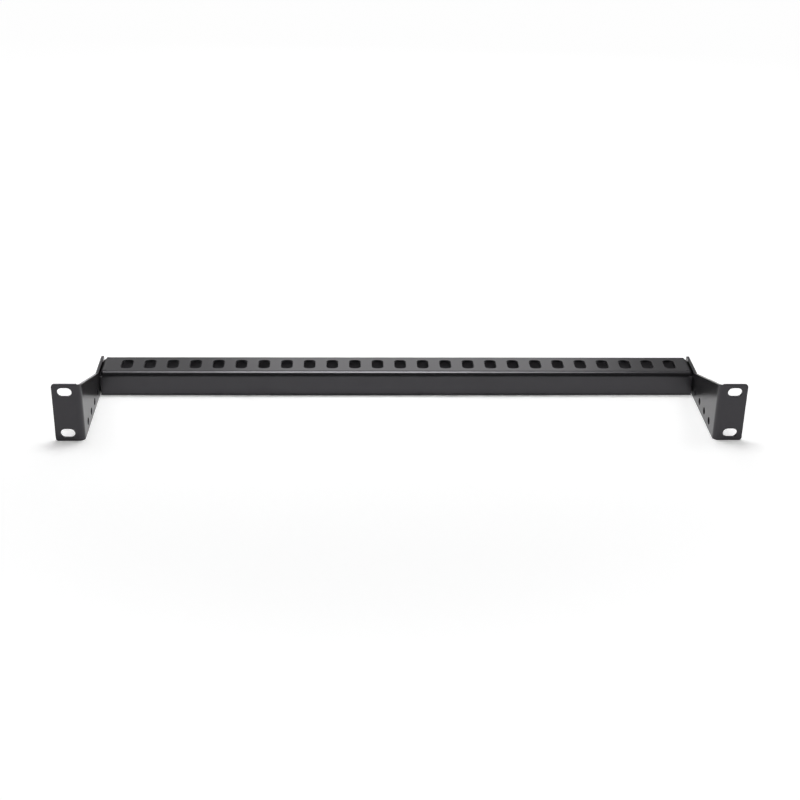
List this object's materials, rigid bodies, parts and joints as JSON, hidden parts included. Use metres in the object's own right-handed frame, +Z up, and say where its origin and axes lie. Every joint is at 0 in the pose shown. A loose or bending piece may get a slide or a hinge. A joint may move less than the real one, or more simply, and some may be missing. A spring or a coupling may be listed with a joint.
{
  "type": "cable lacing bar",
  "caption": "Slotted steel bar carried behind the rack rails by tapered side arms with folded rack ears, for tying and relieving cables.",
  "frame": {"origin": "middle of the four rack slots, on the rear face of the ears, which lies against the rack rails", "axes": "+X along the bar to the right seen from the ears, +Y from the ears back to the bar, +Z up"},
  "size_m": [0.4826, 0.1016, 0.0436],
  "materials": {
    "black_powder_coat": "satin",
    "blackened_steel": "satin"
  },
  "bodies": {
    "root": {"lacing_bar": "black_powder_coat", "left_bracket": "black_powder_coat", "right_bracket": "black_powder_coat", "bar_screws": "blackened_steel"}
  },
  "joints": []
}
